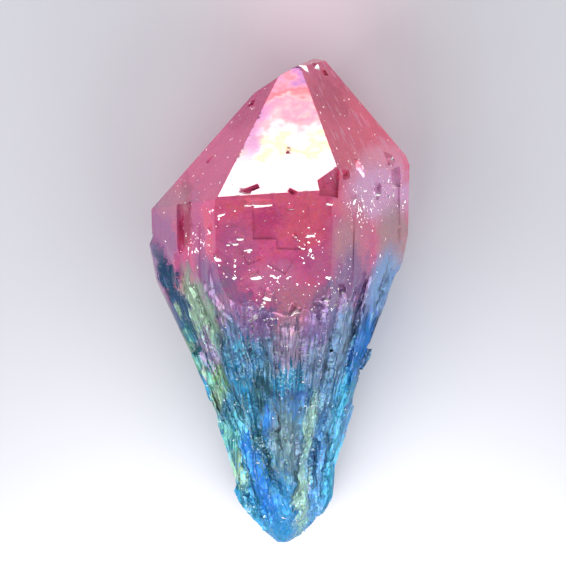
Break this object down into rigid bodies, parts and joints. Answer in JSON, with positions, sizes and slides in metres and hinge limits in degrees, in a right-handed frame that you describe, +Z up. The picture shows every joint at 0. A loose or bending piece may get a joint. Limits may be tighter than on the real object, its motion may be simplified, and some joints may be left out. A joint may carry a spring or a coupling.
{
  "type": "aura quartz crystal",
  "caption": "Coated quartz crystal point lying on a prism face: flat pink termination faces at one end, tapering to a ribbed blue root at the other.",
  "frame": {"origin": "middle of the bounding box, on the surface that the crystal lies on", "axes": "+Y along the crystal towards its point, +Z up from the surface that it lies on, +X to the right seen from above with the point away"},
  "size_m": [0.03, 0.056, 0.025],
  "materials": {
    "coated_quartz": "clear quartz under a thin iridescent metal coating, pink at the point, violet at the waist and blue at the root, glossy on the flat faces and satin on the ribs"
  },
  "bodies": {
    "root": {"crystal_point": "coated_quartz"}
  },
  "joints": []
}
